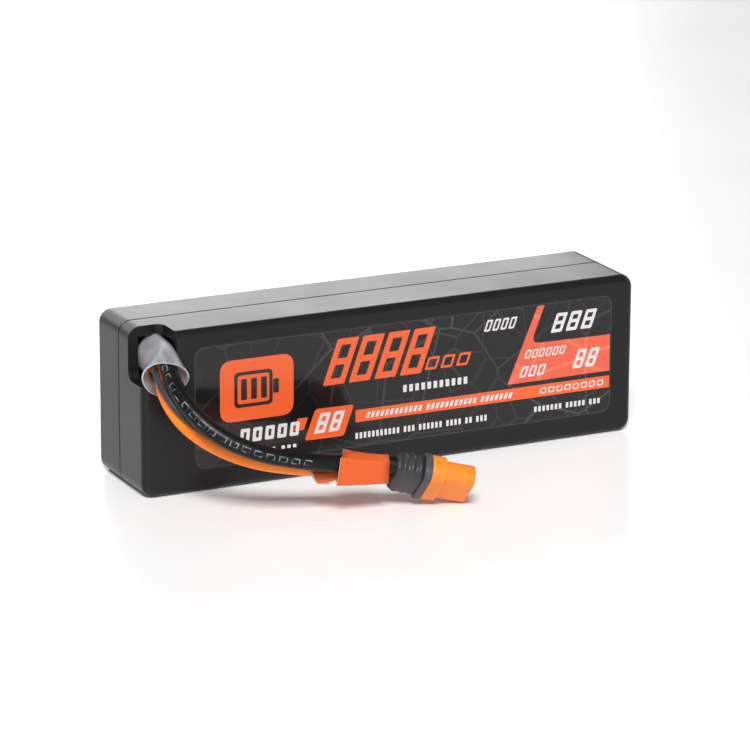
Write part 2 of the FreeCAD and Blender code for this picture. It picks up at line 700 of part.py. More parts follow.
def write_parts():
    for thing in doc.Objects:
        if {"Invalid", "Error"} & set(thing.State):
            raise RuntimeError(f"{thing.Name} failed: {thing.State}")
    for part in parts:
        shape = part.Shape
        if shape.isNull() or not shape.isValid():
            raise RuntimeError(part.Label + " has a bad shape")
    os.makedirs("parts", exist_ok=True)
    for part in parts:
        part.Shape.exportStep(f"parts/{part.Label}.step")
        box = part.Shape.BoundBox
        print(f"{part.Label}: {len(part.Shape.Solids)} solid, volume {part.Shape.Volume:.1f}, "
              f"z {box.ZMin:.2f} to {box.ZMax:.2f}")


build()
write_parts()
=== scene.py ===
"""Looks of the hard-case battery pack: materials, printing, leads, sticker, light and camera.

Lengths are millimetres in the CAD's own frame (+X along the case, -Y the label side, +Z up),
turned into metres where Blender takes them. Only the lights are placed and sized in metres.
"""
import math

import bmesh
import bpy
from mathutils import Matrix, Vector


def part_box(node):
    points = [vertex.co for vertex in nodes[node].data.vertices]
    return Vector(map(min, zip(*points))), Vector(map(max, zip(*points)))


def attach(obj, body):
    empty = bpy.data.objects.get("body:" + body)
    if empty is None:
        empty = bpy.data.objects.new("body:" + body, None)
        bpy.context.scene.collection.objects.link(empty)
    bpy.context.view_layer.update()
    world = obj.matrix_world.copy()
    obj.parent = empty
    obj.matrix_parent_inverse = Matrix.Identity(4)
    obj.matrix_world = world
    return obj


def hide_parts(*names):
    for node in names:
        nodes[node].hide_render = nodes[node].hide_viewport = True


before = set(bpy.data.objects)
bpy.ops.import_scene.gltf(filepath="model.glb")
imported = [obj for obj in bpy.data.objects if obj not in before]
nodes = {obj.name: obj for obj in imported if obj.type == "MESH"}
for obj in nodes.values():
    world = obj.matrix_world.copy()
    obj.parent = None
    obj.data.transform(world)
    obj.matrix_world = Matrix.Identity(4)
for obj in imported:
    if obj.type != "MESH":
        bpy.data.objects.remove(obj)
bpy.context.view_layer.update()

MM = 0.001
FRONT_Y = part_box("front_shell")[0].y / MM       # the labelled face
LABEL_LOW, LABEL_HIGH = (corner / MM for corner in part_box("front_label"))

# The leads' routes from the board to the back of a contact. They are the CAD's, moved a little in
# the notch so that all three lie inside the sleeve.
NEGATIVE_ROUTE = [
    (-43.5, 3.2, 25.2), (-42.7, -3.7, 25.5), (-43.6, -10.0, 25.7), (-45.4, -16.3, 22.85),
    (-44.5, -22.3, 18.8), (-41.0, -26.8, 15.0), (-35.1, -29.6, 12.2), (-28.0, -31.1, 10.4),
    (-21.0, -31.8, 9.2), (-15.6, -32.2, 8.8), (-11.91, -33.49, 8.31), (-9.48, -34.19, 7.71),
]
POSITIVE_ROUTE = [
    (-43.5, 3.2, 21.8), (-43.1, -3.4, 22.2), (-44.2, -9.5, 22.8), (-45.9, -15.0, 19.75),
    (-44.3, -19.2, 15.6), (-40.1, -22.6, 12.2), (-34.1, -24.9, 9.5), (-27.2, -26.9, 8.1),
    (-20.8, -28.9, 7.5), (-15.6, -29.85, 6.6), (-11.81, -30.82, 5.61), (-9.38, -31.52, 5.01),
]
DATA_ROUTE = [
    (-42.6, 6.9, 23.5), (-45.1, 3.0, 23.5), (-44.6, -3.4, 24.0), (-45.6, -9.2, 24.3),
    (-47.2, -15.0, 22.0), (-45.4, -20.4, 17.5), (-40.6, -24.0, 13.7), (-34.1, -26.9, 11.4),
    (-27.4, -28.3, 10.4), (-21.2, -29.3, 9.8), (-15.6, -29.95, 9.15), (-11.49, -31.46, 7.66),
    (-8.5, -32.32, 6.92),
]
POWER_LEAD = 3.0                                # outside diameters
DATA_LEAD = 1.2
SLEEVE_WALL = 0.28
STICKER_THICK = 0.2
INK_ROOT = 0.03                                 # how far printing reaches into the film
EDGE_LIFT = 0.01                                # how far each layer of it stands off the film
COLOUR_LIFT = 0.012
TOP_LIFT = 0.024

# The connector's place and turn, as the CAD has them.
CONNECTOR_POINT = (-7.0, -33.55, 5.755)
CONNECTOR_YAW = -16.0
CONNECTOR_DIP = 13.4
CONNECTOR_ROLL = 47.0

CAMERA_PLACE = (-311.83, -636.59, 223.26)
CAMERA_ANGLES = (-26.18, 16.47, 0.27)           # azimuth, elevation and roll, in degrees
CAMERA_LENS = 198.9

# The Mix node's sockets for colours.
MIX_FIRST, MIX_SECOND, MIX_RESULT = 6, 7, 2


# ---------------------------------------------------------------- helpers
def mm(*lengths):
    return Vector(lengths) * MM


def srgb(red, green, blue):
    """A colour in 0-255 screen values, as the linear colour that shaders take."""
    shares = [value / 255 for value in (red, green, blue)]
    return (*(s / 12.92 if s <= 0.04045 else ((s + 0.055) / 1.055) ** 2.4 for s in shares), 1.0)


def add_object(name, data, material):
    """A visible piece with its material slot, riding the part's one body."""
    thing = bpy.data.objects.new(name, data)
    bpy.context.scene.collection.objects.link(thing)
    data.materials.append(material)
    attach(thing, "root")
    return thing


def mesh_from(name, vertices, faces, smooth=True):
    """A mesh from points in millimetres, with its faces turned outward."""
    mesh = bpy.data.meshes.new(name)
    mesh.from_pydata([Vector(v) * MM for v in vertices], [], faces)
    shape = bmesh.new()
    shape.from_mesh(mesh)
    bmesh.ops.recalc_face_normals(shape, faces=shape.faces)
    shape.to_mesh(mesh)
    shape.free()
    if smooth:
        mesh.shade_smooth()
    else:
        mesh.shade_flat()
    return mesh


def loft(name, rings, capped=False):
    """A skin over closed rings that all have the same number of points."""
    count = len(rings[0])
    vertices = [point for ring in rings for point in ring]
    faces = []
    for level in range(len(rings) - 1):
        for index in range(count):
            after = (index + 1) % count
            low, high = level * count, (level + 1) * count
            faces.append((low + index, low + after, high + after, high + index))
    if capped:
        faces.append(tuple(range(count)))
        faces.append(tuple(range(len(vertices) - count, len(vertices))))
    return mesh_from(name, vertices, faces)


def rounded(corners):
    """A closed outline, each corner (*place, cut) rounded off over that length of its sides."""
    steps = 4
    outline = []
    for index, (*place, cut) in enumerate(corners):
        corner = Vector(place)
        before = Vector(corners[index - 1][:-1]) - corner
        after = Vector(corners[(index + 1) % len(corners)][:-1]) - corner
        enter = corner + before.normalized() * cut
        leave = corner + after.normalized() * cut
        for step in range(steps + 1):
            share = step / steps
            outline.append(enter * (1 - share) ** 2 + corner * 2 * share * (1 - share)
                           + leave * share ** 2)
    return outline


def add_modifier(thing, kind, **settings):
    modifier = thing.modifiers.new(kind.lower(), kind)
    for name, value in settings.items():
        setattr(modifier, name, value)


def connector_frame():
    """Local +Z is the mating direction and local +X the connector's long side."""
    turn = Matrix.Rotation(math.radians(CONNECTOR_YAW), 3, "Z")
    axis = turn @ Matrix.Rotation(math.radians(CONNECTOR_DIP), 3, "Y") @ Vector((1, 0, 0))
    near = turn @ Vector((0, -1, 0))
    long_side = Matrix.Rotation(math.radians(-CONNECTOR_ROLL), 3, axis) @ near
    turned = Matrix((long_side, axis.cross(long_side), axis)).transposed()
    return Matrix.Translation(Vector(CONNECTOR_POINT)) @ turned.to_4x4()


# ---------------------------------------------------------------- material building
class Look:
    """A material being built: its node tree, its shader and short ways to add nodes."""

    def __init__(self, name, **sockets):
        self.material = bpy.data.materials.new(name)
        self.material.use_nodes = True
        self.tree = self.material.node_tree
        self.shader = self.tree.nodes["Principled BSDF"]
        for key, value in sockets.items():
            self.shader.inputs[key.replace("_", " ")].default_value = value
        self.bumps = None

    def node(self, kind, inputs=None, **settings):
        made = self.tree.nodes.new("ShaderNode" + kind)
        for key, value in settings.items():
            setattr(made, key, value)
        for key, value in (inputs or {}).items():
            self.feed(made.inputs[key], value)
        return made

    def feed(self, socket, value):
        """Link a node's output to the socket, or set the socket to a constant."""
        if isinstance(value, bpy.types.NodeSocket):
            self.tree.links.new(value, socket)
        else:
            socket.default_value = value

    def place(self, stretch, turn):
        """The object's own coordinates, stretched and turned."""
        where = self.node("TexCoord").outputs["Object"]
        mapping = self.node("Mapping", {"Vector": where, "Scale": stretch, "Rotation": turn})
        return mapping.outputs["Vector"]

    def noise(self, per_metre, detail=2.0, rough=0.5, stretch=(1, 1, 1), turn=(0, 0, 0)):
        inputs = {"Vector": self.place(stretch, turn), "Scale": per_metre,
                  "Detail": detail, "Roughness": rough}
        return self.node("TexNoise", inputs).outputs["Fac"]

    def cells(self, per_metre, stretch=(1, 1, 1), turn=(0, 0, 0)):
        """Irregular cells: 0 on their edges and rising inward."""
        inputs = {"Vector": self.place(stretch, turn), "Scale": per_metre}
        return self.node("TexVoronoi", inputs, feature="DISTANCE_TO_EDGE").outputs["Distance"]

    def spread(self, source, low, high, to_low=0.0, to_high=1.0):
        """The stretch from low to high, spread over to_low to to_high and held there."""
        inputs = {"Value": source, "From Min": low, "From Max": high,
                  "To Min": to_low, "To Max": to_high}
        return self.node("MapRange", inputs).outputs["Result"]

    def math(self, operation, first, second=0.0):
        """One arithmetic step on two values, each a socket or a constant."""
        made = self.node("Math", operation=operation)
        self.feed(made.inputs[0], first)
        self.feed(made.inputs[1], second)
        return made.outputs[0]

    def blend(self, share, first, second):
        """The first colour where share is 0 and the second where it is 1."""
        made = self.node("Mix", data_type="RGBA")
        self.feed(made.inputs["Factor"], share)
        self.feed(made.inputs[MIX_FIRST], first)
        self.feed(made.inputs[MIX_SECOND], second)
        return made.outputs[MIX_RESULT]

    def colour(self, source):
        self.feed(self.shader.inputs["Base Color"], source)

    def roughness(self, source, smooth, rough):
        self.feed(self.shader.inputs["Roughness"], self.spread(source, 0.3, 0.7, smooth, rough))

    def bump(self, height, depth_mm):
        """Relief of that depth, added to any relief there is already."""
        inputs = {"Height": height, "Distance": depth_mm * MM, "Strength": 1.0}
        if self.bumps:
            inputs["Normal"] = self.bumps
        self.bumps = self.node("Bump", inputs).outputs["Normal"]
        self.feed(self.shader.inputs["Normal"], self.bumps)

    # Feeds the case's rubbed edges and the painted highlights along the sticker's folds and the
    # housing's edges.
    def sharp_edge_mask(self, radius_mm):
        """0 on flat stretches and 1 on sharp outer edges, from how far a bevel would turn them."""
        bevel = self.node("Bevel", {"Radius": radius_mm * MM}, samples=4)
        true_normal = self.node("NewGeometry").outputs["Normal"]
        agreement = self.node("VectorMath", operation="DOT_PRODUCT")
        self.feed(agreement.inputs[0], bevel.outputs["Normal"])
        self.feed(agreement.inputs[1], true_normal)
        return self.spread(agreement.outputs["Value"], 0.995, 0.9)

    def pale_edges(self, radius_mm, strength, colour):
        """Another colour along the sharp outer edges, over the shade built so far."""
        edges = self.math("MULTIPLY", self.sharp_edge_mask(radius_mm), strength)
        body = self.shader.inputs["Base Color"].links[0].from_socket
        self.colour(self.blend(edges, body, colour))


def mottled(name, colour, other, per_metre, smooth, rough, grain_mm, **sockets):
    """A plain moulded finish: two close shades, uneven gloss and a fine grain."""
    look = Look(name, **sockets)
    look.colour(look.blend(look.spread(look.noise(per_metre, 3), 0.35, 0.65), colour, other))
    look.roughness(look.noise(per_metre / 3, 4), smooth, rough)
    look.bump(look.noise(per_metre * 6, 2), grain_mm)
    return look


# ---------------------------------------------------------------- materials
def case_plastic():
    """Black moulded plastic with pale specks, smudges, hairlines and rubbed edges."""
    look = Look("case_plastic", Specular_IOR_Level=0.31)
    shade = look.blend(look.noise(90, 3), srgb(15, 15, 16), srgb(21, 21, 22))
    specks = look.spread(look.noise(2600, 1), 0.76, 0.8)
    shade = look.blend(look.math("MULTIPLY", specks, 0.35), shade, srgb(70, 70, 72))
    wear = look.math("MULTIPLY", look.sharp_edge_mask(0.5), look.noise(700, 4))
    shade = look.blend(look.math("MULTIPLY", wear, 0.3), shade, srgb(72, 72, 74))
    look.colour(shade)
    smudge = look.noise(35, 5, 0.6)
    look.roughness(smudge, 0.27, 0.36)
    look.bump(look.noise(6500, 2), 0.006)
    hairlines = look.noise(260, 3, 0.7, stretch=(0.15, 6, 6), turn=(0, 0.3, 0.1))
    look.bump(hairlines, 0.003)
    return look.material


def label_film():
    """Black glossy film with two faint networks of polygon lines in it."""
    look = Look("label_film", Specular_IOR_Level=0.3, Coat_Weight=0.3, Coat_Roughness=0.06)
    base = look.blend(look.noise(40, 2), srgb(16, 16, 17), srgb(21, 21, 22))
    flat = (1, 0, 1)
    wide = look.spread(look.cells(70, stretch=flat, turn=(0, 0.5, 0)), 0.015, 0.007)
    narrow = look.spread(look.cells(150, stretch=flat, turn=(0, -0.3, 0)), 0.022, 0.01)
    lines = look.math("MAXIMUM", wide, look.math("MULTIPLY", narrow, 0.55))
    patches = look.spread(look.noise(34, 1, stretch=flat), 0.3, 0.6)
    look.colour(look.blend(look.math("MULTIPLY", lines, patches), base, srgb(60, 60, 63)))
    look.roughness(look.noise(50, 4), 0.12, 0.2)
    look.bump(look.noise(120, 2), 0.01)
    return look.material


def ink(name, colour, other, streaks=False):
    """Printing ink under the film's gloss, with a fine grain in its shade."""
    look = Look(name, Specular_IOR_Level=0.3, Coat_Weight=0.25, Coat_Roughness=0.08)
    shade = look.blend(look.noise(55, 3), colour, other)
    if streaks:
        web = look.spread(look.cells(130, stretch=(1, 0, 1)), 0.05, 0.01)
        shade = look.blend(look.math("MULTIPLY", web, 0.35), shade, srgb(246, 140, 112))
    dots = look.spread(look.noise(5200, 1), 0.35, 0.65)
    look.colour(look.blend(look.math("MULTIPLY", dots, 0.06), shade, srgb(90, 40, 25)))
    look.roughness(look.noise(60, 3), 0.2, 0.28)
    look.bump(look.noise(3000, 1), 0.002)
    return look.material


def silicone(name, colour, other, printed=None):
    """Soft lead insulation: satin, a faint ripple and, where printed, short hollow dashes."""
    look = Look(name, Specular_IOR_Level=0.22)
    shade = look.blend(look.noise(300, 3), colour, other)
    dust = look.spread(look.noise(3200, 2), 0.68, 0.74)
    shade = look.blend(look.math("MULTIPLY", dust, 0.06), shade, srgb(150, 150, 150))
    if printed:
        shade = look.blend(look.math("MULTIPLY", printed_dashes(look, *printed), 0.5), shade,
                           srgb(176, 178, 186))
    look.colour(shade)
    look.roughness(look.noise(220, 4), 0.3, 0.4)
    look.bump(look.noise(450, 2), 0.03)
    look.bump(look.noise(7000, 1), 0.004)
    return look.material


def printed_dashes(look, repeats, around, width, start, stop):
    """Hollow dashes along a lead from start to stop, both shares of its length.

    repeats is how many the whole length would hold, around is where on its girth they lie and
    width is half of a dash's width, as a share of the girth.
    """
    half_length, half_hollow = 0.34, 0.26       # of a dash and its hollow, as shares of the pitch
    hollow_width = 0.62                         # the hollow's width, as a share of the dash's
    run = look.node("SeparateXYZ", {"Vector": look.node("TexCoord").outputs["UV"]})
    along = look.math("FRACT", look.math("MULTIPLY", run.outputs["X"], repeats))
    off_middle = look.math("ABSOLUTE", look.math("SUBTRACT", along, 0.5))
    off_line = look.math("ABSOLUTE", look.math("SUBTRACT", run.outputs["Y"], around))
    outer = look.math("MULTIPLY", look.math("LESS_THAN", off_middle, half_length),
                      look.math("LESS_THAN", off_line, width))
    inner = look.math("MULTIPLY", look.math("LESS_THAN", off_middle, half_hollow),
                      look.math("LESS_THAN", off_line, width * hollow_width))
    inside = look.math("MULTIPLY", look.math("GREATER_THAN", run.outputs["X"], start),
                       look.math("LESS_THAN", run.outputs["X"], stop))
    worn = look.spread(look.noise(1100, 3), 0.42, 0.6)
    shown = look.math("MULTIPLY", inside, look.math("SUBTRACT", outer, inner))
    return look.math("MULTIPLY", shown, worn)


def clear_tubing():
    """Clear tubing with a milky haze that thickens in streaks and where it's seen side on."""
    look = Look("clear_tubing", Roughness=0.3, Specular_IOR_Level=0.5)
    streak = look.noise(420, 4, 0.6, stretch=(1.6, 0.35, 0.5))
    cloud = look.noise(170, 3)
    look.colour(look.blend(streak, srgb(166, 167, 173), srgb(206, 207, 213)))
    side_on = look.node("LayerWeight", {"Blend": 0.3}).outputs["Facing"]
    milk = look.math("ADD", look.spread(side_on, 0.1, 0.9, 0.2, 0.6),
                     look.spread(look.math("MULTIPLY", streak, cloud), 0.15, 0.4, 0, 0.18))
    look.feed(look.shader.inputs["Alpha"], milk)
    look.bump(streak, 0.05)
    look.bump(look.noise(1400, 2), 0.02)
    return look.material


def tubing_edge():
    """The sleeve's cut end, which catches the light along its rim."""
    return mottled("tubing_edge", srgb(176, 177, 182), srgb(206, 207, 211), 1200,
                   0.3, 0.42, 0.01).material


def sticker():
    """Orange vinyl with a slight crumple and paler folds, partly creased vinyl and partly a painted
    highlight.
    """
    look = Look("orange_sticker", Specular_IOR_Level=0.34)
    front = look.blend(look.noise(110, 3), srgb(207, 83, 26), srgb(215, 92, 32))
    # Paler along the folds: partly the whitening of creased vinyl, partly a painted highlight.
    crease_and_fold_highlight = look.math("MULTIPLY", look.sharp_edge_mask(0.25), look.spread(look.noise(500, 3), 0.35, 0.6))
    look.colour(look.blend(look.math("MULTIPLY", crease_and_fold_highlight, 0.5), front, srgb(255, 186, 140)))
    look.roughness(look.noise(200, 4), 0.26, 0.36)
    look.bump(look.noise(260, 3, stretch=(0.5, 1, 1.6)), 0.05)
    look.bump(look.noise(4200, 1), 0.004)
    return look.material


def sticker_backing():
    return mottled("sticker_backing", srgb(214, 208, 202), srgb(230, 228, 224), 900,
                   0.5, 0.65, 0.01).material


def boot_rubber():
    look = mottled("boot_rubber", srgb(42, 41, 43), srgb(50, 48, 51), 260, 0.4, 0.52, 0.008,
                   Specular_IOR_Level=0.5)
    look.bump(look.noise(5200, 2), 0.01)
    return look.material


def cap_plastic():
    return mottled("cap_plastic", srgb(60, 60, 65), srgb(69, 69, 74), 300, 0.4, 0.5, 0.006,
                   Specular_IOR_Level=0.5).material


def housing_plastic():
    look = mottled("housing_plastic", srgb(233, 131, 29), srgb(229, 123, 24), 160, 0.3, 0.4, 0.006,
                   Specular_IOR_Level=0.5, Subsurface_Weight=0.12, Subsurface_Scale=0.0012)
    # Painted highlight: a paler orange along the housing's sharp edges.
    look.pale_edges(0.35, 0.35, srgb(255, 176, 104))
    return look.material


def brushed_metal(name, colour, other, stretch, smooth, rough):
    """Bare metal with a fine grain along the axis that stretch holds down."""
    look = Look(name, Metallic=1.0)
    look.colour(look.blend(look.noise(400, 3), colour, other))
    grain = look.noise(1600, 3, 0.6, stretch=stretch)
    look.roughness(grain, smooth, rough)
    look.bump(grain, 0.004)
    return look.material


def pouch_foil():
    """Laminated foil that is slightly wrinkled and embossed."""
    look = Look("pouch_foil", Metallic=0.85)
    look.colour(look.blend(look.noise(60, 3), srgb(196, 198, 202), srgb(216, 217, 220)))
    look.roughness(look.noise(500, 4), 0.3, 0.46)
    look.bump(look.noise(90, 3), 0.25)
    look.bump(look.cells(900, stretch=(1, 0.4, 1)), 0.02)
    return look.material


def foam():
    look = mottled("foam", srgb(38, 38, 40), srgb(52, 52, 55), 1500, 0.85, 0.95, 0.05)
    look.bump(look.cells(2200), 0.08)
    return look.material


def amber_tape():
    look = mottled("amber_tape", srgb(196, 132, 30), srgb(216, 156, 52), 90, 0.2, 0.32, 0.004,
                   Coat_Weight=0.4)
    look.bump(look.noise(70, 2), 0.05)
    return look.material


def fibre_sheet():
    look = mottled("fibre_sheet", srgb(52, 52, 54), srgb(66, 66, 68), 700, 0.6, 0.8, 0.01)
    look.bump(look.noise(1500, 4, stretch=(1, 0.2, 1)), 0.02)
    return look.material


def board_resist():
    """Solder resist over copper tracks: the tracks stand up a little and show lighter."""
    look = Look("board_resist", Specular_IOR_Level=0.5, Coat_Weight=0.5, Coat_Roughness=0.15)
    tracks = look.spread(look.cells(520, stretch=(0, 1, 1), turn=(0.785, 0, 0)), 0.1, 0.06)
    look.colour(look.blend(tracks, srgb(8, 34, 20), srgb(14, 48, 28)))
    look.roughness(look.noise(300, 3), 0.25, 0.38)
    look.bump(tracks, 0.02)
    return look.material


def solder_metal():
    look = Look("solder_metal", Metallic=1.0)
    look.colour(look.blend(look.noise(800, 3), srgb(188, 190, 192), srgb(214, 215, 216)))
    look.roughness(look.noise(900, 4), 0.18, 0.34)
    look.bump(look.noise(1200, 3), 0.03)
    return look.material


def component_body(name, colour, other):
    look = mottled(name, colour, other, 1400, 0.5, 0.66, 0.008)
    look.pale_edges(0.15, 0.4, srgb(120, 118, 114))
    return look.material


def floor_paint():
    look = Look("studio_floor", Specular_IOR_Level=0.35, Emission_Color=(1, 1, 1, 1),
                Emission_Strength=0.03)
    look.colour(look.blend(look.noise(6, 2), srgb(246, 246, 246), srgb(250, 250, 250)))
    look.roughness(look.noise(30, 3), 0.3, 0.36)
    return look.material


def dress_frame():
    """Every CAD node that stays in view, and the hidden ones inside, gets its finish."""
    case = case_plastic()
    gold = brushed_metal("gold_plate", srgb(214, 168, 88), srgb(232, 190, 112),
                         (1, 1, 0.1), 0.16, 0.28)
    nickel = brushed_metal("nickel_strip", srgb(186, 184, 178), srgb(204, 202, 197),
                           (0.1, 1, 1), 0.22, 0.36)
    aluminium = brushed_metal("aluminium_strip", srgb(206, 207, 208), srgb(222, 222, 224),
                              (0.1, 1, 1), 0.26, 0.4)
    foil, padding, solder = pouch_foil(), foam(), solder_metal()
    chip = component_body("chip_epoxy", srgb(30, 30, 32), srgb(40, 40, 42))
    ceramic = component_body("capacitor_ceramic", srgb(168, 132, 92), srgb(186, 150, 108))
    finishes = {
        "front_shell": case, "rear_shell": case, "front_label": label_film(),
        "front_cell": foil, "rear_cell": foil, "cell_tape": amber_tape(),
        "front_cell_positive_tab": aluminium, "rear_cell_positive_tab": aluminium,
        "front_cell_negative_tab": nickel, "rear_cell_negative_tab": nickel,
        "front_foam": padding, "rear_foam": padding, "end_foam": padding,
        "circuit_board": board_resist(), "insulation_sheet": fibre_sheet(),
        "controller_chip": chip, "power_transistors": chip, "chip_resistors": chip,
        "balance_resistors": chip, "thermistor": chip, "chip_capacitors": ceramic,
        "power_solder_joints": solder, "data_solder_joint": solder, "tab_solder_joints": solder,
        "connector_cap": cap_plastic(), "connector_housing": housing_plastic(),
        "positive_contact": gold, "negative_contact": gold, "data_contact": gold,
    }
    for name, material in finishes.items():
        node = nodes[name]
        node.data.materials.clear()
        node.data.materials.append(material)


# ---------------------------------------------------------------- leads
def add_lead(name, route, width, material):
    """A round lead whose middle follows a smooth curve drawn toward the route's points."""
    curve = bpy.data.curves.new(name, "CURVE")
    curve.dimensions = "3D"
    spline = curve.splines.new("NURBS")
    spline.points.add(len(route) - 1)
    for point, place in zip(spline.points, route):
        point.co = (*mm(*place), 1.0)
    spline.order_u = 3
    spline.use_endpoint_u = True
    spline.resolution_u = 16
    curve.bevel_depth = width / 2 * MM
    curve.bevel_resolution = 8
    curve.use_fill_caps = True
    lead = add_object(name + "_insulation", curve, material)
    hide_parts(name)
    return lead


# ---------------------------------------------------------------- sleeve and sticker
def teardrop_ring(half_wide, half_tall, centre, normal, wide_side, pinch, wave):
    """Points round a tube's section, its upper half drawn in by pinch and leaning to the right."""
    count = 32
    lean = 2.2                                  # how far a full pinch shifts the top, in mm
    normal = Vector(normal).normalized()
    across = Vector(wide_side)
    across = (across - normal * across.dot(normal)).normalized()
    upward = normal.cross(across)
    points = []
    for step in range(count):
        turn = 2 * math.pi * step / count
        above = max(math.sin(turn), 0)
        ripple = 1 + wave * math.sin(3 * turn + 0.7)
        sideways = half_wide * ripple * math.cos(turn) * (1 - pinch * above ** 1.5)
        points.append(Vector(centre) + across * (sideways + pinch * lean * above)
                      + upward * half_tall * ripple * math.sin(turn))
    return points


def add_clear_sleeve(tube, edge):
    """A thin clear tube round the leads, pinched in the notch and flared at its mouth.

    Each station is (half_wide, half_tall, centre, normal, wide_side, pinch, wave).
    """
    stations = [
        (2.45, 3.45, (-43.4, -2.6, 24.05), (-0.1, -1, 0), (1, 0, -0.05), 0.22, 0),
        (2.42, 3.55, (-43.62, -5.0, 24.0), (-0.1, -1, 0), (1, 0, -0.05), 0.28, 0.01),
        (2.45, 3.65, (-44.05, -8.0, 23.95), (-0.2, -1, -0.02), (1, 0, -0.05), 0.37, 0.01),
        (2.55, 3.8, (-44.35, -10.3, 23.8), (-0.25, -1, -0.1), (1, 0, -0.03), 0.36, 0.02),
        (3.15, 3.95, (-44.9, -11.9, 23.1), (-0.3, -0.88, -0.35), (0.95, -0.3, 0), 0.24, 0.03),
        (3.95, 4.0, (-45.15, -13.0, 22.2), (-0.32, -0.8, -0.48), (0.92, -0.38, 0), 0.04, 0.05),
    ]
    rings = [teardrop_ring(*station) for station in stations]
    sleeve = add_object("sleeve_tube", loft("sleeve_tube", rings), tube)
    sleeve.data.materials.append(edge)
    add_modifier(sleeve, "SUBSURF", levels=1, render_levels=2)
    add_modifier(sleeve, "SOLIDIFY", thickness=SLEEVE_WALL * MM, offset=0, material_offset_rim=1)
    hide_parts("clear_sleeve")
    return sleeve


def add_sticker(name, mesh, outer, backing):
    """A sticker sheet: coloured outside, with its paper side and its cut edges white."""
    sheet = add_object(name, mesh, outer)
    mesh.materials.append(backing)
    add_modifier(sheet, "SOLIDIFY", thickness=STICKER_THICK * MM, offset=-1,
                 material_offset=1, material_offset_rim=1)
    return sheet


def add_wrap(outer, backing):
    """The sticker folded round the leads, creased along its near top edge and its ridge.

    Each end is given by its five folds, near top first, as (x, y, z, cut).
    """
    left_end = [(-21.8, -33.75, 10.9, 0.25), (-22.4, -33.5, 5.9, 0.4), (-19.4, -27.4, 5.2, 1.4),
                (-18.8, -28.3, 10.7, 0.9), (-20.0, -31.4, 11.1, 0.4)]
    right_end = [(-13.2, -34.95, 9.3, 0.2), (-13.2, -34.6, 5.4, 0.4), (-13.3, -28.6, 4.0, 1.4),
                 (-12.5, -29.7, 9.0, 0.9), (-12.5, -33.2, 10.15, 0.3)]
    spans, sag = 5, 0.08
    rings = []
    for level in range(spans + 1):
        share = level / spans
        folds = []
        for left, right in zip(left_end, right_end):
            fold = [low + (high - low) * share for low, high in zip(left, right)]
            fold[2] -= sag * math.sin(math.pi * share)
            folds.append(fold)
        rings.append(rounded(folds))
    wrap = add_sticker("wrap_sticker", loft("wrap_sticker", rings), outer, backing)
    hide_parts("lead_wrap")
    return wrap


def patch(name, rows):
    """A sheet through rows of points, the same number in each."""
    count = len(rows[0])
    faces = []
    for level in range(len(rows) - 1):
        for index in range(count - 1):
            low, high = level * count + index, (level + 1) * count + index
            faces.append((low, low + 1, high + 1, high))
    return mesh_from(name, [point for row in rows for point in row], faces)


def add_wrap_tail(outer, backing):
    """The sticker's spare end under the orange lead, cut on the slant at its left.

    Its lower and left margins are left white. Each column is (x, slant, low), from the right.
    """
    columns = [(-19.6, 0, 5.8), (-20.8, 0, 5.62), (-22.4, 0, 5.25), (-24.4, 0.7, 5.34),
               (-24.6, 0.8, 5.35)]
    shares = (0, 0.1, 0.33, 0.67, 1)
    height, bow = 2.3, 0.9
    rows = []
    for x, slant, low in columns:
        top_y = -30.6 - 0.31 * (x + 20.2)       # along the orange lead
        rows.append([(x - slant * share, top_y - bow * (1 - share) ** 1.5, low + height * share)
                     for share in shares])
    mesh = patch("wrap_sticker_tail", rows)
    strips = len(shares) - 1
    for face in mesh.polygons:
        column, strip = divmod(face.index, strips)
        if strip == 0 or column == len(columns) - 2:
            face.material_index = 1
    return add_sticker("wrap_sticker_tail", mesh, outer, backing)


def add_wrap_curl(outer, backing):
    """The near lower corner of the sticker, turned back so that its paper side shows."""
    bands, strips = 5, 3
    rows = []
    for level in range(bands + 1):
        share = level / bands
        x = -22.3 - 1.35 * share
        y = -33.55 - 0.5 * math.sin(math.pi * share)
        low, high = 5.75 + 0.3 * share, 7.2 - 0.3 * share
        rows.append([(x - 0.12 * step, y, low + (high - low) * step / strips)
                     for step in range(strips + 1)])
    curl = add_sticker("wrap_sticker_corner", patch("wrap_sticker_corner", rows), backing, outer)
    add_modifier(curl, "SUBSURF", levels=1, render_levels=2)
    return curl


# ---------------------------------------------------------------- boot
def add_boot(material):
    """The moulded strain relief: a rounded block with shallow ribs, strongest at its narrow ends."""
    placement = connector_frame()
    length, half_long, half_short = 4.9, 4.25, 2.45
    rounded_share, free_end = 0.3, 0.62         # of the length, and of the full size
    squareness = 0.6                            # 1 would be an oval
    ribs, rib_all_round, rib_at_ends = 3.5, 0.02, 0.075
    levels, points = 36, 40
    rings = []
    for level in range(levels + 1):
        share = level / levels
        along = -length * (1 - share)
        rounding = min(share / rounded_share, 1)
        body = free_end + (1 - free_end) * math.sqrt(1 - (1 - rounding) ** 2)
        rib = 0.5 - 0.5 * math.cos(2 * math.pi * ribs * share)
        ring = []
        for step in range(points):
            turn = 2 * math.pi * step / points
            across, up = math.cos(turn), math.sin(turn)
            narrow_end = abs(across) ** 3
            swell = body * (1 - (rib_all_round + rib_at_ends * narrow_end) * rib)
            ring.append(placement @ Vector((
                math.copysign(abs(across) ** squareness, across) * half_long * swell,
                math.copysign(abs(up) ** squareness, up) * half_short * swell, along)))
        rings.append(ring)
    boot = add_object("boot_moulding", loft("boot_moulding", rings, capped=True), material)
    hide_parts("connector_boot")
    return boot


# ---------------------------------------------------------------- printing on the label, and a painted highlight round its edge
def slanted(left, low, right, high, lean=0.0, cut=0.1):
    """A rounded box whose top edge is shifted right by lean times its height."""
    shift = lean * (high - low)
    return rounded([(left, low, cut), (right, low, cut), (right + shift, high, cut),
                    (left + shift, high, cut)])


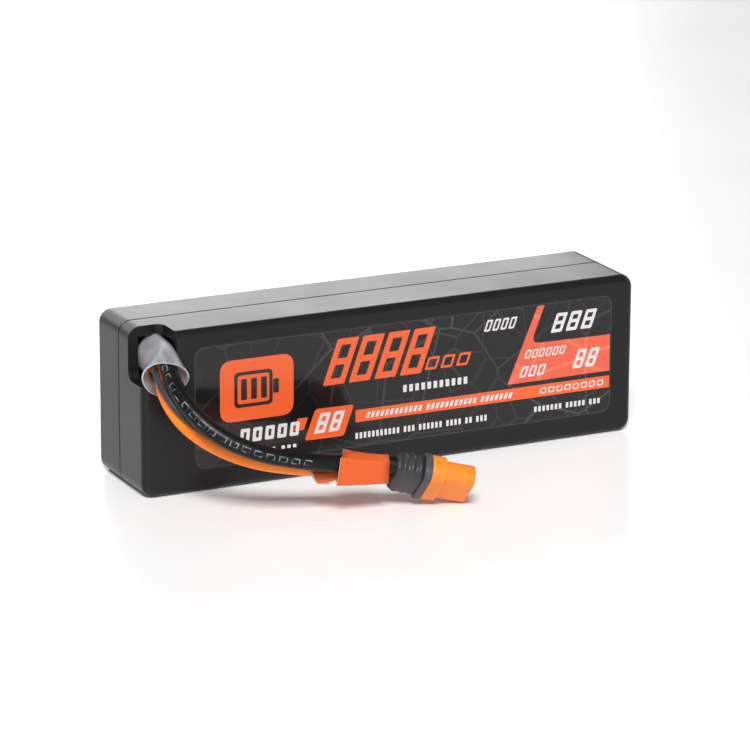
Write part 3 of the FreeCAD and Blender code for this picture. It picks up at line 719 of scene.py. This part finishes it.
class Print:
    """Printed shapes of one colour, gathered into one thin mesh on the label's face."""

    def __init__(self, lift):
        """lift is how far the layer stands off the film."""
        self.levels = (FRONT_Y - lift, FRONT_Y + INK_ROOT)
        self.vertices = []
        self.faces = []

    def add_points(self, outline):
        """The outline on both levels; returns the number of its first point and its count."""
        first = len(self.vertices)
        for level in self.levels:
            self.vertices += [(x, level, z) for x, z in outline]
        return first, len(outline)

    def add_wall(self, first, count):
        for index in range(count):
            after = (index + 1) % count
            self.faces.append((first + index, first + after,
                               first + count + after, first + count + index))

    def plate(self, outline):
        """A filled shape."""
        first, count = self.add_points(outline)
        self.add_wall(first, count)
        self.faces.append(tuple(range(first, first + count)))
        self.faces.append(tuple(range(first + count, first + 2 * count)))

    def ring(self, outer, inner):
        """The band between two outlines that have the same number of points."""
        first, count = self.add_points(outer)
        second, _ = self.add_points(inner)
        for start in (first, second):
            self.add_wall(start, count)
        for level in (0, count):
            for index in range(count):
                after = (index + 1) % count
                self.faces.append((first + level + index, first + level + after,
                                   second + level + after, second + level + index))

    def frame(self, left, low, right, high, stroke, lean=0.0, cut=0.3):
        """A hollow slanted box."""
        shift = lean * stroke
        inner = slanted(left + stroke + shift, low + stroke, right - stroke + shift,
                        high - stroke, lean, max(cut - stroke / 2, 0.05))
        self.ring(slanted(left, low, right, high, lean, cut), inner)

    def row(self, left, right, low, high, count, stroke, lean=0.36, gap=0.26, split=False):
        """Hollow blank blocks in place of a line of print.

        gap is the space between two blocks as a share of the pitch; split adds a bar across the
        middle of each block.
        """
        pitch = (right - left - lean * (high - low)) / (count - gap)
        for index in range(count):
            start = left + index * pitch
            end = start + pitch * (1 - gap)
            self.frame(start, low, end, high, stroke, lean)
            if split:
                middle = (low + high - stroke) / 2
                shift = lean * (middle - low)
                self.plate(slanted(start + stroke + shift, middle, end - stroke + shift,
                                   middle + stroke, lean, 0.02))

    def words(self, left, low, high, lengths, letter, lean=0.0):
        """A line of small blocks with word gaps; letter is the pitch of the blocks."""
        block, word_gap = 0.6, 0.7              # as shares of the pitch
        start = left
        for length in lengths:
            for _ in range(length):
                self.plate(slanted(start, low, start + letter * block, high, lean, 0.06))
                start += letter
            start += letter * word_gap

    def make(self, name, material):
        return add_object(name, mesh_from(name, self.vertices, self.faces, False), material)


def print_orange():
    """The badge, the large figures, the bar and its tag."""
    ink_layer = Print(COLOUR_LIFT)
    ink_layer.plate(slanted(-33.6, 11.9, -19.6, 23.0, cut=2.2))  # the badge
    ink_layer.row(-14.0, 8.1, 16.2, 24.4, 4, stroke=1.15, gap=0.17, split=True)  # the large figures
    ink_layer.row(5.9, 15.2, 16.6, 18.9, 3, stroke=0.42)  # the blocks after them
    ink_layer.plate(slanted(-7.6, 8.75, 43.3, 11.0, cut=0.05))  # the long bar
    ink_layer.plate(slanted(-19.6, 8.75, -17.6, 10.9, 0.36, 0.05))  # the sliver beside the tag
    tag = rounded([(-17.5, 6.7, 0.6), (-9.9, 6.6, 0.6), (-7.9, 12.1, 0.6), (-15.4, 12.2, 0.6)])
    ink_layer.plate(tag)
    ink_layer.make("label_orange_print", ink("orange_ink", srgb(220, 90, 43), srgb(227, 96, 46)))


def print_coral():
    """The panel at the right, with the slanted stroke that runs up from it."""
    ink_layer = Print(COLOUR_LIFT)
    ink_layer.plate(rounded([(28.4, 25.7, 0.1), (29.8, 25.7, 0.1), (27.1, 18.9, 1.8),
                             (43.3, 18.7, 0.1), (43.3, 11.9, 0.1), (22.5, 11.8, 0.1)]))
    ink_layer.make("label_coral_print", ink("coral_ink", srgb(214, 87, 63), srgb(218, 95, 65), True))


def print_white():
    """Blank blocks and lines of small blocks, in place of all the white lettering."""
    ink_layer = Print(TOP_LIFT)
    ink_layer.row(-15.7, -9.6, 7.7, 11.3, 2, stroke=0.62, split=True)  # on the tag
    ink_layer.row(-29.9, -18.4, 7.9, 10.4, 5, stroke=0.62, lean=0.1)  # left of the tag
    ink_layer.row(17.6, 24.4, 22.2, 24.3, 4, stroke=0.34)  # upper middle
    ink_layer.row(31.1, 40.6, 20.4, 23.9, 3, stroke=0.6, split=True)  # upper right
    ink_layer.row(35.6, 41.3, 13.2, 16.6, 2, stroke=0.56, split=True)  # on the coral panel, large
    ink_layer.row(25.8, 34.4, 16.2, 17.8, 6, stroke=0.26)  # its first small row
    ink_layer.row(24.8, 30.4, 12.8, 14.8, 3, stroke=0.34)  # its second small row
    ink_layer.row(29.1, 42.1, 9.3, 10.4, 8, stroke=0.22, lean=0.1)  # the bar's right end
    ink_layer.words(-5.6, 9.3, 10.35, (12, 11, 7), 0.93, 0.36)  # the bar's line
    ink_layer.words(1.7, 13.1, 14.4, (11,), 1.2)  # under the large figures
    ink_layer.words(-26.0, 5.8, 6.4, (3, 3), 1.1)  # lower left
    ink_layer.words(-7.6, 5.7, 6.8, (11, 3, 6, 4, 2, 3), 0.81)  # under the bar
    ink_layer.words(28.0, 6.0, 7.0, (7, 5, 3), 0.84)  # lower right
    ink_layer.make("label_white_print", ink("white_ink", srgb(205, 201, 201), srgb(214, 211, 210)))


def print_icon():
    """A plain battery symbol: a case, its terminal and three charge bars."""
    ink_layer = Print(TOP_LIFT)
    ink_layer.frame(-30.9, 14.3, -23.6, 20.7, 0.62, cut=0.9)
    ink_layer.plate(slanted(-23.5, 16.2, -22.4, 18.8, cut=0.3))
    bar_width = 1.1
    for left in (-29.6, -27.7, -25.8):
        ink_layer.plate(slanted(left, 15.6, left + bar_width, 19.4, cut=0.2))
    ink_layer.make("label_icon_print", ink("dark_ink", srgb(34, 30, 31), srgb(42, 38, 38)))


def print_edge_highlight():
    """A painted highlight along the label's edge, a hairline lighter than the film."""
    left, low, right, high = LABEL_LOW.x, LABEL_LOW.z, LABEL_HIGH.x, LABEL_HIGH.z
    ink_layer = Print(EDGE_LIFT)
    # Painted highlight: a pale hairline ring standing in for light caught by the label's edge.
    ink_layer.frame(left, low, right, high, 0.12, cut=2.0)
    ink_layer.make("label_edge_highlight", ink("edge_highlight_paint", srgb(52, 52, 54), srgb(64, 64, 66)))


# ---------------------------------------------------------------- camera, floor and light
def add_camera():
    azimuth, elevation, roll = (math.radians(angle) for angle in CAMERA_ANGLES)
    turn = (Matrix.Rotation(azimuth, 3, "Z") @ Matrix.Rotation(math.pi / 2 - elevation, 3, "X")
            @ Matrix.Rotation(roll, 3, "Z"))
    camera = bpy.data.objects.new("camera", bpy.data.cameras.new("camera"))
    camera.data.lens = CAMERA_LENS
    camera.data.clip_start = 0.01
    camera.matrix_world = Matrix.Translation(mm(*CAMERA_PLACE)) @ turn.to_4x4()
    bpy.context.scene.collection.objects.link(camera)
    bpy.context.scene.camera = camera


def add_floor():
    half = 3000
    mesh = mesh_from("floor", [(-half, -half, 0), (half, -half, 0), (half, half, 0),
                               (-half, half, 0)], [(0, 1, 2, 3)])
    floor = bpy.data.objects.new("floor", mesh)
    bpy.context.scene.collection.objects.link(floor)
    mesh.materials.append(floor_paint())


def add_softbox(name, place, aim, wide, tall, brightness, gloss_only=False):
    """A rectangular light; brightness is how bright its face is, with white as 1."""
    light = bpy.data.lights.new(name, "AREA")
    light.shape = "RECTANGLE"
    light.size = wide
    light.size_y = tall
    light.energy = brightness * math.pi * wide * tall
    lamp = bpy.data.objects.new(name, light)
    lamp.location = place
    lamp.rotation_euler = (Vector(aim) - Vector(place)).to_track_quat("-Z", "Y").to_euler()
    lamp.visible_diffuse = not gloss_only
    bpy.context.scene.collection.objects.link(lamp)


def add_lights():
    """A large soft key, high at the front left, and three panels that only glossy surfaces show."""
    world = bpy.data.worlds.new("studio")
    world.use_nodes = True
    background = world.node_tree.nodes["Background"]
    background.inputs["Color"].default_value = (1, 1, 1, 1)
    background.inputs["Strength"].default_value = 0.28
    bpy.context.scene.world = world
    bpy.context.scene.view_settings.view_transform = "Standard"
    middle = (0, 0, 0.03)
    add_softbox("back_glow", (0.07, 1.0, 0.3), middle, 1.07, 0.55, 2.9, gloss_only=True)
    add_softbox("front_glow", (-0.1, -1.0, 0.3), middle, 0.95, 0.5, 1.0, gloss_only=True)
    add_softbox("right_glow", (1.0, 0.1, 0.3), middle, 0.8, 0.5, 1.6, gloss_only=True)
    add_softbox("key", (-1.1, -2.4, 2.7), (0, 0, 0), 1.15, 1.15, 40.0)


# ---------------------------------------------------------------- the whole scene
add_camera()
black_lead = add_lead("negative_lead", NEGATIVE_ROUTE, POWER_LEAD,
                      silicone("black_silicone", srgb(8, 8, 9), srgb(14, 14, 15),
                               (34, 0.31, 0.055, 0.2, 0.68)))
orange_lead = add_lead("positive_lead", POSITIVE_ROUTE, POWER_LEAD,
                       silicone("orange_silicone", srgb(250, 124, 30), srgb(255, 136, 38)))
thin_lead = add_lead("data_lead", DATA_ROUTE, DATA_LEAD,
                     silicone("grey_insulation", srgb(54, 54, 57), srgb(66, 66, 69)))
dress_frame()
sleeve = add_clear_sleeve(clear_tubing(), tubing_edge())
vinyl, paper = sticker(), sticker_backing()
wrap_pieces = [add_wrap(vinyl, paper), add_wrap_tail(vinyl, paper), add_wrap_curl(vinyl, paper)]
connector = [add_boot(boot_rubber()), nodes["connector_cap"], nodes["connector_housing"]]

for print_layer in (print_orange, print_coral, print_white, print_icon, print_edge_highlight):
    print_layer()
add_floor()
add_lights()
